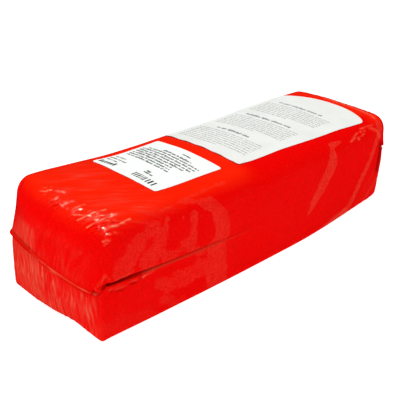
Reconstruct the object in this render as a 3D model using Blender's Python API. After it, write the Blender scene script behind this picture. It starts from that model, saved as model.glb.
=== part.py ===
"""A long block of cheese analogue, shrink-wrapped in red film, with two paper labels on its top.

The block lies on its base, its length along X and its height along Z, with the origin under its middle.
The film is sealed across both ends. Each seal turns the corners and runs on as a fold along the long sides.
Sizes are in metres. The near end is the one at -X, and the front is the long side at -Y.
"""

import math

import bmesh
import bpy
import numpy as np
from mathutils import Vector
from mathutils.bvhtree import BVHTree

# Driving sizes of the block
LENGTH = 0.361
WIDTH = 0.109
HEIGHT = 0.090

# How far each face swells out beyond its own edges
NEAR_SWELL = 0.0070
FAR_SWELL = 0.0070
FRONT_SWELL = 0.0060
BACK_SWELL = 0.0022
TOP_CROWN = 0.0045

# Where the soft block is out of true
NEAR_BACK_RISE = 0.0064  # the top rises towards its near back corner
FAR_BACK_RISE = 0.0020   # and a little towards its far back corner
FRONT_TUCK = 0.0042      # the front side leans in at the far end's foot
FOOT_LIFT = 0.0030       # the base's front edge lifts towards the far end
FOOT_EAR = 0.0016        # the film pulls the near front foot out to a point
FOOT_EAR_REACH = 0.016

# Where these come in, as shares of the block's half sizes from its middle
FAR_TUCK_SPAN = (0.15, 1.0)
LOW_TUCK_SPAN = (-1.0, 0.3)
BACK_SPAN = (-0.5, 1.0)
NEAR_RISE_SPAN = (0.35, 0.9)
FAR_RISE_SPAN = (0.2, 0.75)
FOOT_LIFT_SPAN = (0.3, 1.0)
FOOT_LIFT_FRONT_SPAN = (0.2, 0.9)
NEAR_CORNER_SPAN = (0.0, 0.4)
FRONT_CORNER_SPAN = (0.2, 0.9)
TOP_ROUND_SPAN = (-0.2, 0.6)
EDGE_SWELL_SHARE = 0.35        # of a face's swell, left along its base and top edges
FRONT_EDGE_SWELL_SHARE = 0.60

# Roundings of the edges
FRONT_TOP_ROUND = 0.0160
BACK_TOP_ROUND = 0.0100
NEAR_TOP_ROUND = 0.0245
FAR_TOP_ROUND = 0.0170
CORNER_ROUND = 0.0095
NEAR_FRONT_CORNER_ROUND = 0.0180
FOOT_CORNER_ROUND = 0.0070
NEAR_FRONT_FOOT_CORNER_ROUND = 0.0030
FOOT_ROUND = 0.0025
END_BLEND = 0.014  # over this distance an edge's rounding changes to that of the end's edge

# The seals across the ends, and the folds that they leave along the sides
NEAR_SEAL_FRONT = 0.0370  # heights above the base
NEAR_SEAL_BACK = 0.0530
NEAR_FOLD_FRONT = 0.0470
NEAR_FOLD_BACK = 0.0530
FAR_SEAL_FRONT = 0.0570
FAR_SEAL_BACK = 0.0490
SEAL_CURVE = 1.5          # the near seal climbs faster towards the back
FOLD_FALL = 0.040         # the near folds sink this much for each metre along the sides
SEAL_PROUD = 0.0016
SEAL_HALF_WIDTH = 0.0012
SEAL_TURN = 0.012         # the seal gives way to the fold within this distance of the end
SHOULDER = 0.0017          # the film above a fold hangs out over it
SHOULDER_FADE = 0.012
FOLD_DEPTH = 0.0022
FOLD_FADE = 0.0032
FOLD_ON_END = 0.25        # share of the fold's relief that is left along the seals
NEAR_FOLD_REACH = 0.165
NEAR_BACK_FOLD_REACH = 0.110
FAR_FOLD_REACH = 0.050

# Labels: their four corners, seen from above, and how far the far edge arches out beyond its corners
WEIGHT_LABEL = {
    "near_front": (-0.1042, -0.0328),
    "near_back": (-0.1037, 0.0408),
    "far_front": (-0.0375, -0.0367),
    "far_back": (-0.0325, 0.0415),
    "arch": 0.0,
}
CONTENTS_LABEL = {
    "near_front": (-0.0218, -0.0397),
    "near_back": (-0.0180, 0.0490),
    "far_front": (0.1418, -0.0455),
    "far_back": (0.1385, 0.0490),
    "arch": 0.0155,
}
LABEL_THICKNESS = 0.0005
LABEL_GAP = 0.0004
LABEL_CORNER = 0.0040
LABEL_SPACING = 0.0055
CORNER_ANGLES = (30, 60, 90)  # degrees round a label's corner

# Spacing of the block's mesh
LONG_STEPS = 48
WIDE_STEPS = 20
EDGE_CROWDING = 0.35
LOWER_ROWS = (0.0, 0.07, 0.22, 0.44, 0.66, 0.84)
SEAL_ROWS = (-0.0050, -0.0024, -0.0010, 0.0, 0.0010, 0.0036, 0.0080)
UPPER_ROWS = (0.18, 0.36, 0.54, 0.70, 0.84, 0.94, 1.0)
CORE_INSET = 0.028
SEARCH_REACH = 0.060
SEARCH_STEPS = 22
FLAT_WITHIN = 0.00001  # points this close to the base are set on it
SHARP_ANGLE = 50       # degrees; steeper edges are shaded sharp

HALF_LENGTH = LENGTH / 2
HALF_WIDTH = WIDTH / 2
HALF_HEIGHT = HEIGHT / 2


def ease(start, end, value):
    """0 before start, 1 after end, and a smooth climb between them."""
    share = np.clip((value - start) / (end - start), 0.0, 1.0)
    return share * share * (3 - 2 * share)


def arch(share):
    """1 at the middle of a face and 0 at its edges."""
    return np.clip(1 - share * share, 0.0, 1.0)


def seal_height(x, y):
    """Height of the seals and their folds, all the way round the block."""
    back_share = np.clip(y / WIDTH + 0.5, 0.0, 1.0)
    from_near = x + HALF_LENGTH
    near_seal = NEAR_SEAL_FRONT + (NEAR_SEAL_BACK - NEAR_SEAL_FRONT) * back_share**SEAL_CURVE
    near_fold = NEAR_FOLD_FRONT + (NEAR_FOLD_BACK - NEAR_FOLD_FRONT) * back_share - FOLD_FALL * from_near
    near = near_seal + (near_fold - near_seal) * ease(SEAL_TURN / 3, SEAL_TURN, from_near)
    far = FAR_SEAL_FRONT + (FAR_SEAL_BACK - FAR_SEAL_FRONT) * back_share
    return near + (far - near) * ease(0.0, HALF_LENGTH - FAR_FOLD_REACH, x)


def seal_relief(x, y, z):
    """How far the seals and folds push the film out, or draw it in, from the plain block."""
    above = z - seal_height(x, y)
    on_end = ease(HALF_LENGTH - SEAL_TURN, HALF_LENGTH - SEAL_TURN / 3, np.abs(x))
    near_reach = NEAR_FOLD_REACH + (NEAR_BACK_FOLD_REACH - NEAR_FOLD_REACH) * (y > 0)
    near_fold = 1 - ease(SEAL_TURN - HALF_LENGTH, near_reach - HALF_LENGTH, x)
    far_fold = ease(HALF_LENGTH - FAR_FOLD_REACH, HALF_LENGTH - SEAL_TURN, x)
    fold = np.maximum(near_fold, far_fold) * (1 - (1 - FOLD_ON_END) * on_end)
    fin = SEAL_PROUD * on_end * np.exp(-((above / SEAL_HALF_WIDTH) ** 2))
    shoulder = SHOULDER * np.exp(-np.abs(above) / SHOULDER_FADE)
    groove = FOLD_DEPTH * np.exp(-np.abs(above) / FOLD_FADE)
    return fin + fold * np.where(above > -SEAL_HALF_WIDTH / 2, shoulder, -groove)


def skin_distance(x, y, z):
    """Signed distance of points from the film: negative inside the block."""
    along = x / HALF_LENGTH
    across = y / HALF_WIDTH
    upward = (z - HALF_HEIGHT) / HALF_HEIGHT
    back_share = ease(*BACK_SPAN, across)
    level_swell = EDGE_SWELL_SHARE + (1 - EDGE_SWELL_SHARE) * arch(upward)
    front_level_swell = FRONT_EDGE_SWELL_SHARE + (1 - FRONT_EDGE_SWELL_SHARE) * arch(upward)

    swell = arch(across) * level_swell - 1
    past_near = -x - HALF_LENGTH - NEAR_SWELL * swell
    past_far = x - HALF_LENGTH - FAR_SWELL * swell
    tuck = FRONT_TUCK * ease(*FAR_TUCK_SPAN, along) * (1 - ease(*LOW_TUCK_SPAN, upward))
    past_front = -y - HALF_WIDTH - FRONT_SWELL * arch(along) * front_level_swell + tuck
    past_back = y - HALF_WIDTH - BACK_SWELL * arch(along) * level_swell
    crown = TOP_CROWN * (arch(across) * np.sqrt(arch(along)) - 1)
    near_rise = NEAR_BACK_RISE * ease(*NEAR_RISE_SPAN, -along)
    far_rise = FAR_BACK_RISE * ease(*FAR_RISE_SPAN, along)
    past_top = z - HEIGHT - crown - (near_rise + far_rise) * back_share
    past_base = -z + FOOT_LIFT * ease(*FOOT_LIFT_SPAN, along) * ease(*FOOT_LIFT_FRONT_SPAN, -across)
    from_foot = np.sqrt((x + HALF_LENGTH) ** 2 + (y + HALF_WIDTH) ** 2 + z**2)
    ear = FOOT_EAR * (1 - ease(0.0, FOOT_EAR_REACH, from_foot))

    past_end = np.maximum(past_near - ear, past_far)
    past_side = np.maximum(past_front - ear, past_back)
    past_level = np.maximum(past_top, past_base)

    at_end = np.exp(np.minimum(past_end, 0) / END_BLEND)
    top_share = ease(*TOP_ROUND_SPAN, upward)
    near_front = ease(*NEAR_CORNER_SPAN, -along) * ease(*FRONT_CORNER_SPAN, -across)
    corner_round = CORNER_ROUND + (NEAR_FRONT_CORNER_ROUND - CORNER_ROUND) * near_front
    foot_corner_round = FOOT_CORNER_ROUND + (NEAR_FRONT_FOOT_CORNER_ROUND - FOOT_CORNER_ROUND) * near_front
    upright_round = foot_corner_round + (corner_round - foot_corner_round) * top_share
    end_top_round = np.where(x < 0, NEAR_TOP_ROUND, FAR_TOP_ROUND)
    side_top_round = np.where(y < 0, FRONT_TOP_ROUND, BACK_TOP_ROUND)
    upper_round = side_top_round + (end_top_round - side_top_round) * at_end
    lower_round = FOOT_ROUND + (upright_round - FOOT_ROUND) * at_end
    rounding = lower_round + (upper_round - lower_round) * top_share
    outside = np.sqrt(
        np.maximum(past_end + rounding, 0) ** 2
        + np.maximum(past_side + rounding, 0) ** 2
        + np.maximum(past_level + rounding, 0) ** 2
    )
    inside = np.maximum(np.maximum(past_end, past_side), past_level)
    return np.minimum(inside, -rounding) + outside - seal_relief(x, y, z)


def crowded(count):
    """Places from -1 to 1, closer together towards both ends."""
    even = np.linspace(-1.0, 1.0, count + 1)
    return (1 - EDGE_CROWDING) * even + EDGE_CROWDING * np.sin(even * math.pi / 2)


def row_heights(seal):
    """Heights of the mesh's rows at one place, from the base to the top, given the seal's height there."""
    low = seal + SEAL_ROWS[0]
    high = seal + SEAL_ROWS[-1]
    lower = [low * share for share in LOWER_ROWS]
    middle = [seal + offset for offset in SEAL_ROWS]
    upper = [high + (HEIGHT - high) * share for share in UPPER_ROWS]
    return lower + middle + upper


def box_lattice(counts):
    """Places on the surface of a box-shaped lattice, and the four-sided faces between them, facing out."""
    places = []
    for i in range(counts[0] + 1):
        for j in range(counts[1] + 1):
            for k in range(counts[2] + 1):
                if i in (0, counts[0]) or j in (0, counts[1]) or k in (0, counts[2]):
                    places.append((i, j, k))
    number = {place: n for n, place in enumerate(places)}
    faces = []
    for axis in range(3):
        first, second = (axis + 1) % 3, (axis + 2) % 3
        for side in (0, counts[axis]):
            for a in range(counts[first]):
                for b in range(counts[second]):
                    corners = []
                    for da, db in ((0, 0), (1, 0), (1, 1), (0, 1)):
                        place = [side, side, side]
                        place[first] = a + da
                        place[second] = b + db
                        corners.append(number[tuple(place)])
                    if side == 0:
                        corners.reverse()
                    faces.append(corners)
    return places, faces


def block_surface():
    """Points and faces of the wrapped block: rays from an inner core, each followed out to the film."""
    row_count = len(LOWER_ROWS) + len(SEAL_ROWS) + len(UPPER_ROWS) - 1
    places, faces = box_lattice((LONG_STEPS, WIDE_STEPS, row_count))
    long_places = crowded(LONG_STEPS) * HALF_LENGTH
    wide_places = crowded(WIDE_STEPS) * HALF_WIDTH
    starts = []
    for i, j, k in places:
        x, y = long_places[i], wide_places[j]
        starts.append((x, y, row_heights(seal_height(x, y))[k]))
    starts = np.array(starts)
    core_low = np.array([-HALF_LENGTH, -HALF_WIDTH, 0.0]) + CORE_INSET
    core_high = np.array([HALF_LENGTH, HALF_WIDTH, HEIGHT]) - CORE_INSET
    core = np.clip(starts, core_low, core_high)
    heading = starts - core
    heading /= np.linalg.norm(heading, axis=1, keepdims=True)
    near = np.zeros(len(starts))
    far = np.full(len(starts), SEARCH_REACH)
    for _ in range(SEARCH_STEPS):
        middle = (near + far) / 2
        points = core + heading * middle[:, None]
        within = skin_distance(points[:, 0], points[:, 1], points[:, 2]) < 0
        near = np.where(within, middle, near)
        far = np.where(within, far, middle)
    points = core + heading * near[:, None]
    points[:, 2] = np.where(points[:, 2] < FLAT_WITHIN, 0.0, points[:, 2])
    middle = (points.min(axis=0) + points.max(axis=0)) / 2
    points[:, :2] -= middle[:2]
    return points, faces


def edge_lines(width):
    """Distances from a label's middle line to its strips' edges, closer together round the corners."""
    inner = width / 2 - LABEL_CORNER
    count = round(2 * inner / LABEL_SPACING)
    straight = [inner * (2 * n / count - 1) for n in range(count + 1)]
    bend = [inner + LABEL_CORNER * math.sin(math.radians(angle)) for angle in CORNER_ANGLES]
    return [-place for place in reversed(bend)] + straight + bend


def label_places(label):
    """Rows of places across and along a label, seen from above, inside its rounded corners."""
    near_front, near_back = Vector(label["near_front"]), Vector(label["near_back"])
    far_front, far_back = Vector(label["far_front"]), Vector(label["far_back"])
    width = ((near_back - near_front).length + (far_back - far_front).length) / 2
    length = ((far_front - near_front).length + (far_back - near_back).length) / 2
    columns = round(length / LABEL_SPACING)
    rows = []
    for across in edge_lines(width):
        share = across / width + 0.5
        near = near_front.lerp(near_back, share)
        far = far_front.lerp(far_back, share)
        heading = (far - near).normalized()
        past_corner = max(abs(across) - (width / 2 - LABEL_CORNER), 0.0)
        corner_cut = LABEL_CORNER - math.sqrt(max(LABEL_CORNER**2 - past_corner**2, 0.0))
        start = near + heading * corner_cut
        stop = far + heading * (label["arch"] * arch(2 * share - 1) - corner_cut)
        rows.append([start.lerp(stop, n / columns) for n in range(columns + 1)])
    return rows


def label_surface(label, block_tree):
    """Points and faces of a paper sheet that lies on the film and follows it."""
    rows = label_places(label)
    lower, upper = [], []
    for row in rows:
        for place in row:
            above = Vector((place.x, place.y, 2 * HEIGHT))
            hit, normal, _, _ = block_tree.ray_cast(above, Vector((0, 0, -1)))
            lower.append(hit + normal * LABEL_GAP)
            upper.append(hit + normal * (LABEL_GAP + LABEL_THICKNESS))
    width = len(rows[0])
    total = len(lower)
    faces = []
    for row in range(len(rows) - 1):
        for n in range(width - 1):
            a = row * width + n
            corners = (a, a + 1, a + 1 + width, a + width)
            faces.append([corner + total for corner in corners])
            faces.append(list(reversed(corners)))
    last_row = total - width
    rim = list(range(width - 1))
    rim += range(width - 1, total - 1, width)
    rim += range(total - 1, last_row, -1)
    rim += range(last_row, 0, -width)
    for n, corner in enumerate(rim):
        after = rim[(n + 1) % len(rim)]
        faces.append([corner, after, after + total, corner + total])
    return lower + upper, faces


def material(name, color, roughness, coat):
    """A plain finish: its linear colour, its roughness and its clear gloss."""
    finish = bpy.data.materials.new(name)
    finish.use_nodes = True
    shader = finish.node_tree.nodes["Principled BSDF"]
    shader.inputs["Base Color"].default_value = (*color, 1.0)
    shader.inputs["Roughness"].default_value = roughness
    shader.inputs["Metallic"].default_value = 0.0
    shader.inputs["Coat Weight"].default_value = coat
    return finish


def add_object(name, points, faces, finish):
    """One closed, smooth-shaded solid."""
    mesh = bpy.data.meshes.new(name)
    mesh.from_pydata([tuple(point) for point in points], [], faces)
    mesh.materials.append(finish)
    shape = bmesh.new()
    shape.from_mesh(mesh)
    bmesh.ops.triangulate(shape, faces=shape.faces)
    bmesh.ops.recalc_face_normals(shape, faces=shape.faces)
    shape.to_mesh(mesh)
    shape.free()
    mesh.shade_smooth()
    mesh.set_sharp_from_angle(angle=math.radians(SHARP_ANGLE))
    solid = bpy.data.objects.new(name, mesh)
    bpy.context.scene.collection.objects.link(solid)
    return solid


def build():
    for old in list(bpy.data.objects):
        bpy.data.objects.remove(old, do_unlink=True)
    film = material("red_shrink_film", (0.83, 0.012, 0.006), 0.28, 0.5)
    paper = material("white_label_paper", (0.90, 0.93, 0.92), 0.55, 0.0)
    points, faces = block_surface()
    add_object("wrapped_loaf", points, faces, film)
    tree = BVHTree.FromPolygons([Vector(point) for point in points], faces)
    for name, label in (("weight_label", WEIGHT_LABEL), ("contents_label", CONTENTS_LABEL)):
        add_object(name, *label_surface(label, tree), paper)


build()
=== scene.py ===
# A block of cheese analogue in tight red shrink film, with two paper labels on its top.
# Lengths are in metres unless a name ends in Mm. The near end is at -X and the front is the long side at -Y.
import math
import random
from functools import partial

import bmesh
import bpy
import numpy as np
from mathutils import Euler, Matrix, Vector
from mathutils.bvhtree import BVHTree


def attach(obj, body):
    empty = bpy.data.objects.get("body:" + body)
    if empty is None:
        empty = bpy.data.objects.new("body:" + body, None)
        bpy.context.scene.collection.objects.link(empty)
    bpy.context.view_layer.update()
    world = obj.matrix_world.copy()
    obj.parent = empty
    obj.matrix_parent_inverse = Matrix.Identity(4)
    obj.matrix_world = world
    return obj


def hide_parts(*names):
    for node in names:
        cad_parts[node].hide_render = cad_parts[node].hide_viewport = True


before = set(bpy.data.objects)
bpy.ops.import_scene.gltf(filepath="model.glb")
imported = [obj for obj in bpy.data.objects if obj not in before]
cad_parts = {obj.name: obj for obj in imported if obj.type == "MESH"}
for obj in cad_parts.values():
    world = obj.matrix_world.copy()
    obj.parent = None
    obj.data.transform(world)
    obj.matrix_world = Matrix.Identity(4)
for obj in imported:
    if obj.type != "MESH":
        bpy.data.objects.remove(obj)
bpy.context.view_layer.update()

mm = 0.001


def ease(start, end, value):
    share = np.clip((value - start) / (end - start), 0.0, 1.0)
    return share * share * (3 - 2 * share)


def arch(share):
    return np.clip(1 - share * share, 0.0, 1.0)


def bell(distance, width):
    return np.exp(-((distance / width) ** 2))


def mix(low, high, share):
    return low + (high - low) * share


def within(value, low, high, soft):
    return ease(low - soft, low + soft, value) * (1 - ease(high - soft, high + soft, value))


# ---- shape of the wrapped block ----
block = {
    "length": 0.361,
    "width": 0.109,
    "height": 0.090,
    "endSwell": 0.0070,
    "frontSwell": 0.0060,
    "backSwell": 0.0022,
    "topCrown": 0.0045,
    "edgeSwellShare": 0.35,       # of a face's swell, left along its base and top edges
    "frontEdgeSwellShare": 0.60,
    "nearBackRise": 0.0064,       # the top rises towards its back corners
    "farBackRise": 0.0020,
    "frontTuck": 0.0042,          # the front leans in at the far foot
    "footLift": 0.0030,
    "nearFootTuck": 0.0026,       # the near foot is drawn in beside its pulled-out corner
    "footTuckPlace": -0.021,
    "footTuckHalfWidth": 0.016,
    "footTuckHeight": 0.022,
    "farLean": 0.0018,            # the far end leans out towards its top
    "nearBackCut": (-0.776, 0.631, 0.1803),  # a flat facet off the near top edge's back: its slope and place
    "cutFade": 0.016,             # how far off the facet lies at the front
    "footEar": 0.0016,            # the near front foot is pulled out to a point
    "footEarReach": 0.016,
    "frontTopRound": 0.0160,
    "backTopRound": 0.0100,
    "nearTopRound": 0.0245,
    "nearBackTopRound": 0.0125,
    "nearBackLean": 0.0060,       # the near end leans in towards its top at the back
    "leanFrom": 0.046,            # height that it starts at
    "leanOver": 0.037,
    "farFrontTopRound": 0.0125,
    "farBackTopRound": 0.0170,
    "cornerRound": 0.0075,
    "nearFrontCornerRound": 0.0180,
    "footCornerRound": 0.0070,
    "nearFrontFootCornerRound": 0.0030,
    "footRound": 0.0025,
    "endBlend": 0.014,
    "backward": 0.00184,          # puts the swollen front and back evenly about the middle
}
halfLength = block["length"] / 2
halfWidth = block["width"] / 2
halfHeight = block["height"] / 2


def plainDistance(x, y, z):
    # signed distance from the tight film, without its seals and wrinkles
    along, across = x / halfLength, y / halfWidth
    upward = (z - halfHeight) / halfHeight
    levelSwell = mix(block["edgeSwellShare"], 1, arch(upward))
    pastEnd = np.abs(x) - halfLength - block["endSwell"] * (arch(across) * levelSwell - 1)
    tuck = block["frontTuck"] * ease(0.15, 1.0, along) * (1 - ease(-1.0, 0.3, upward))
    frontSwell = block["frontSwell"] * arch(along) * mix(block["frontEdgeSwellShare"], 1, arch(upward))
    pastFront = -y - halfWidth - frontSwell + tuck
    pastBack = y - halfWidth - block["backSwell"] * arch(along) * levelSwell
    crown = block["topCrown"] * (arch(across) * np.sqrt(arch(along)) - 1)
    rise = block["nearBackRise"] * ease(0.35, 0.9, -along) + block["farBackRise"] * ease(0.2, 0.75, along)
    pastTop = z - block["height"] - crown - rise * ease(-0.5, 1.0, across)
    pastBase = -z + block["footLift"] * ease(0.3, 1.0, along) * ease(0.2, 0.9, -across)
    fromFoot = np.sqrt((x + halfLength) ** 2 + (y + halfWidth) ** 2 + z**2)
    ear = block["footEar"] * (1 - ease(0.0, block["footEarReach"], fromFoot))
    footTuck = block["nearFootTuck"] * bell(y - block["footTuckPlace"], block["footTuckHalfWidth"])
    footTuck = footTuck * (1 - ease(0.0, block["footTuckHeight"], z)) * (x < 0)
    leanShare = np.clip((z - block["leanFrom"]) / block["leanOver"], 0, 1.3)
    lean = block["nearBackLean"] * leanShare * ease(0.35, 0.9, across) * (x < 0)
    pastEnd = pastEnd - ear + footTuck + lean - block["farLean"] * ease(-0.2, 0.8, upward) * (x > 0)
    pastSide = np.maximum(pastFront - ear, pastBack)
    pastLevel = np.maximum(pastTop, pastBase)

    atEnd = np.exp(np.minimum(pastEnd, 0) / block["endBlend"])
    topShare = ease(-0.2, 0.6, upward)
    nearFront = ease(0.0, 0.4, -along) * ease(0.2, 0.9, -across)
    cornerRound = mix(block["cornerRound"], block["nearFrontCornerRound"], nearFront)
    footCornerRound = mix(block["footCornerRound"], block["nearFrontFootCornerRound"], nearFront)
    nearTopRound = mix(block["nearTopRound"], block["nearBackTopRound"], ease(0.45, 0.95, across))
    farTopRound = np.where(y < 0, block["farFrontTopRound"], block["farBackTopRound"])
    sideTopRound = np.where(y < 0, block["frontTopRound"], block["backTopRound"])
    upperRound = mix(sideTopRound, np.where(x < 0, nearTopRound, farTopRound), atEnd)
    lowerRound = mix(block["footRound"], mix(footCornerRound, cornerRound, topShare), atEnd)
    rounding = mix(lowerRound, upperRound, topShare)
    outside = np.sqrt(sum(np.maximum(past + rounding, 0) ** 2 for past in (pastEnd, pastSide, pastLevel)))
    inside = np.maximum(np.maximum(pastEnd, pastSide), pastLevel)
    cutX, cutZ, cutPlace = block["nearBackCut"]
    pastCut = cutX * x + cutZ * z - cutPlace - block["cutFade"] * (1 - ease(0.35, 0.95, across))
    return np.maximum(np.minimum(inside, -rounding) + outside, pastCut)


# ---- seals across the ends and the folds that run on from them ----
seal = {
    "nearFront": 0.0376,      # heights above the base
    "nearBack": 0.0489,
    "nearFoldFront": 0.0470,
    "nearFoldBack": 0.0480,
    "farFront": 0.0570,
    "farBack": 0.0490,
    "nearClimb": (-0.05, 0.85),  # shares of the width between which the near seal climbs
    "foldFall": 0.040,
    "turn": 0.012,
    "proud": 0.0015,
    "backProud": 0.0009,      # more where the seal's edge is left wide, towards the back
    "halfWidth": 0.0006,
    "backHalfWidth": 0.0010,
    "undercut": 0.0010,       # the film is drawn in just below the seal
    "secondRidge": 0.0006,
    "secondDrop": 0.0027,
    "secondReach": (-0.024, -0.004),
    "shoulder": 0.0019,       # the film above a fold hangs out over it
    "shoulderFade": 0.013,
    "foldDepth": 0.0030,
    "foldHalfWidth": 0.0012,
    "lip": 0.0008,            # a small raised lip below the fold
    "lipDrop": 0.0030,
    "foldOnEnd": 0.25,
    "widens": (-0.004, 0.024),  # between these places across
    "foldShadeGrows": (-0.176, -0.166),  # between these places along, the fold's painted shade grows
    "foldShadeFades": (-0.150, -0.110),
    "lipGlintSpan": (-0.140, -0.128),
    "nearReach": 0.165,
    "nearBackReach": 0.110,
    "farReach": 0.050,
    "farFrontReach": 0.020,
}


def sealHeight(x, y):
    backShare = np.clip(y / block["width"] + 0.5, 0.0, 1.0)
    fromNear = x + halfLength
    nearSeal = mix(seal["nearFront"], seal["nearBack"], ease(*seal["nearClimb"], backShare))
    nearFold = mix(seal["nearFoldFront"], seal["nearFoldBack"], backShare) - seal["foldFall"] * fromNear
    near = mix(nearSeal, nearFold, ease(seal["turn"] / 3, seal["turn"], fromNear))
    far = mix(seal["farFront"], seal["farBack"], backShare)
    return mix(near, far, ease(0.0, halfLength - seal["farReach"], x))


def sealParts(x, y, z):
    # relief of the seals and folds, and how much seal band, painted highlight and painted shade is at each
    # place
    above = z - sealHeight(x, y)
    onEnd = ease(halfLength - seal["turn"], halfLength - seal["turn"] / 3, np.abs(x))
    wide = ease(*seal["widens"], y)
    halfWidth = seal["halfWidth"] + seal["backHalfWidth"] * wide
    reach = np.where(y > 0, seal["nearBackReach"], seal["nearReach"])
    nearFold = 1 - ease(0.03, 1.0, (x + halfLength - seal["turn"]) / reach)
    farReach = np.where(y < 0, seal["farFrontReach"], seal["farReach"])
    farFold = ease(0.0, 1.0, (x - halfLength + farReach) / (farReach - seal["turn"]))
    fold = np.maximum(nearFold, farFold) * (1 - (1 - seal["foldOnEnd"]) * onEnd)
    band = onEnd * np.exp(-((above / halfWidth) ** 4))
    undercut = onEnd * bell(above + 2.2 * halfWidth, halfWidth)
    secondDrop = seal["secondDrop"] * (0.3 + 0.7 * ease(*seal["secondReach"], y))
    secondShare = onEnd * within(y, *seal["secondReach"], 0.003)
    second = secondShare * bell(above + secondDrop, seal["halfWidth"])
    groove = bell(above + seal["foldHalfWidth"], seal["foldHalfWidth"])
    shoulder = seal["shoulder"] * np.exp(-np.abs(above) / seal["shoulderFade"]) * ease(-0.0008, 0.0006, above)
    lip = seal["lip"] * bell(above + seal["lipDrop"], 0.5 * seal["lipDrop"])
    proud = seal["proud"] + seal["backProud"] * wide
    relief = proud * band - seal["undercut"] * undercut + seal["secondRidge"] * second
    relief = relief + fold * (shoulder - seal["foldDepth"] * groove + lip)
    # painted shade: darker colour in the fold's groove, under the seal, along both edges of its band and
    # below the second ridge
    foldShadeDepth = (1 - 0.55 * ease(*seal["foldShadeFades"], x)) * ease(*seal["foldShadeGrows"], x)
    crease = np.maximum(fold * groove * foldShadeDepth * (1 - onEnd), 0.08 * undercut)
    bandEdgeShade = onEnd * bell(np.abs(above) - 1.25 * halfWidth, 0.5 * halfWidth)
    crease = np.maximum(crease, (0.20 + 0.34 * wide) * bandEdgeShade)
    crease = np.maximum(crease, 0.30 * secondShare * bell(above + 0.5 * secondDrop, 0.0006))
    # painted highlight: light lines along the narrow seal's top, along the second ridge below it and along
    # the lip below the front fold
    secondGlint = 0.8 * secondShare * bell(above + secondDrop, 0.0004)
    sealGlintAlong = 0.65 + 0.35 * np.sin(y / 0.0031 + 2 * np.sin(y / 0.0072))
    glintAndRub = onEnd * (1 - wide) * sealGlintAlong * np.maximum(bell(above, 0.0003), secondGlint)
    lipGlint = nearFold * (1 - onEnd) * (y < 0) * ease(*seal["lipGlintSpan"], x)
    glintAndRub = np.maximum(glintAndRub, 0.45 * lipGlint * bell(above + 0.8 * seal["lipDrop"], 0.0006))
    return relief, band * wide, glintAndRub, crease


# ---- the film's mesh: rays from an inner core, each followed out to the film ----
filmMesh = {
    "nearStep": 0.0008,       # spacing along the block at the gathered near end
    "nearReach": 0.046,
    "nextStep": 0.0015,
    "nextReach": 0.074,
    "middleStep": 0.0030,
    "farStep": 0.0016,
    "farReach": 0.036,
    "wideSteps": 168,
    "lowerRows": 24,
    "upperRows": 28,
    "sealRowsMm": (-7.5, -5.8, -4.6, -3.9, -3.3, -2.7, -2.2, -1.7, -1.2, -0.8, -0.4, 0, 0.4, 0.8, 1.3, 2,
        3.2, 5, 7.5),
    "rayLength": 0.060,
    "edgeCrowding": 0.35,
    "coreInset": 0.028,
}


def lengthPlaces():
    near = np.arange(0, filmMesh["nearReach"], filmMesh["nearStep"])
    near = np.append(near, np.arange(filmMesh["nearReach"], filmMesh["nextReach"], filmMesh["nextStep"]))
    far = block["length"] - np.arange(0, filmMesh["farReach"], filmMesh["farStep"])[::-1]
    count = round((far[0] - near[-1]) / filmMesh["middleStep"])
    middle = np.linspace(near[-1], far[0], count + 1)[1:-1]
    return np.concatenate([near, middle, far]) - halfLength


def widthPlaces():
    even = np.linspace(-1, 1, filmMesh["wideSteps"] + 1)
    crowding = filmMesh["edgeCrowding"]
    return ((1 - crowding) * even + crowding * np.sin(even * math.pi / 2)) * halfWidth


def rowHeights(x, y):
    # one column of heights for each place: base to seal, round the seal, seal to top
    height = sealHeight(x, y)[:, None]
    offsets = np.array(filmMesh["sealRowsMm"]) * mm
    lowerShare = np.linspace(0, 1, filmMesh["lowerRows"] + 1)[:-1]
    upperShare = np.linspace(0, 1, filmMesh["upperRows"] + 1)[1:]
    low, high = height + offsets[0], height + offsets[-1]
    upper = high + (block["height"] - high) * upperShare
    return np.concatenate([low * lowerShare, height + offsets, upper], axis=1)


def boxLattice(counts):
    # numbers for the points on a box-shaped lattice, and the outward quads between them
    grid = np.full([count + 1 for count in counts], -1)
    onSkin = np.ones(grid.shape, bool)
    onSkin[1:-1, 1:-1, 1:-1] = False
    grid[onSkin] = np.arange(onSkin.sum())
    places = np.argwhere(onSkin)
    quads = []
    for axis in range(3):
        for side in (0, -1):
            sheet = np.take(grid, side, axis=axis)
            if axis == 1:
                sheet = sheet.T  # keeps the two other axes in turning order
            corners = [sheet[:-1, :-1], sheet[1:, :-1], sheet[1:, 1:], sheet[:-1, 1:]]
            if side == 0:
                corners.reverse()
            quads.append(np.stack(corners, axis=-1).reshape(-1, 4))
    return places, np.concatenate(quads)


def filmSurface():
    xs, ys = lengthPlaces(), widthPlaces()
    rows = filmMesh["lowerRows"] + filmMesh["upperRows"] + len(filmMesh["sealRowsMm"])
    places, quads = boxLattice((len(xs) - 1, len(ys) - 1, rows - 1))
    x, y = xs[places[:, 0]], ys[places[:, 1]]
    z = rowHeights(x, y)[np.arange(len(places)), places[:, 2]]
    starts = np.stack([x, y, z], axis=1)
    inset = filmMesh["coreInset"]
    low = np.array([-halfLength, -halfWidth, 0.0]) + inset
    high = np.array([halfLength, halfWidth, block["height"]]) - inset
    core = np.clip(starts, low, high)
    heading = starts - core
    heading /= np.linalg.norm(heading, axis=1, keepdims=True)
    near, far = np.zeros(len(starts)), np.full(len(starts), filmMesh["rayLength"])
    for _ in range(20):
        middle = (near + far) / 2
        points = core + heading * middle[:, None]
        beyond = plainDistance(*points.T) >= sealParts(*points.T)[0]
        near = np.where(beyond, near, middle)
        far = np.where(beyond, middle, far)
    return core + heading * near[:, None], quads


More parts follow.
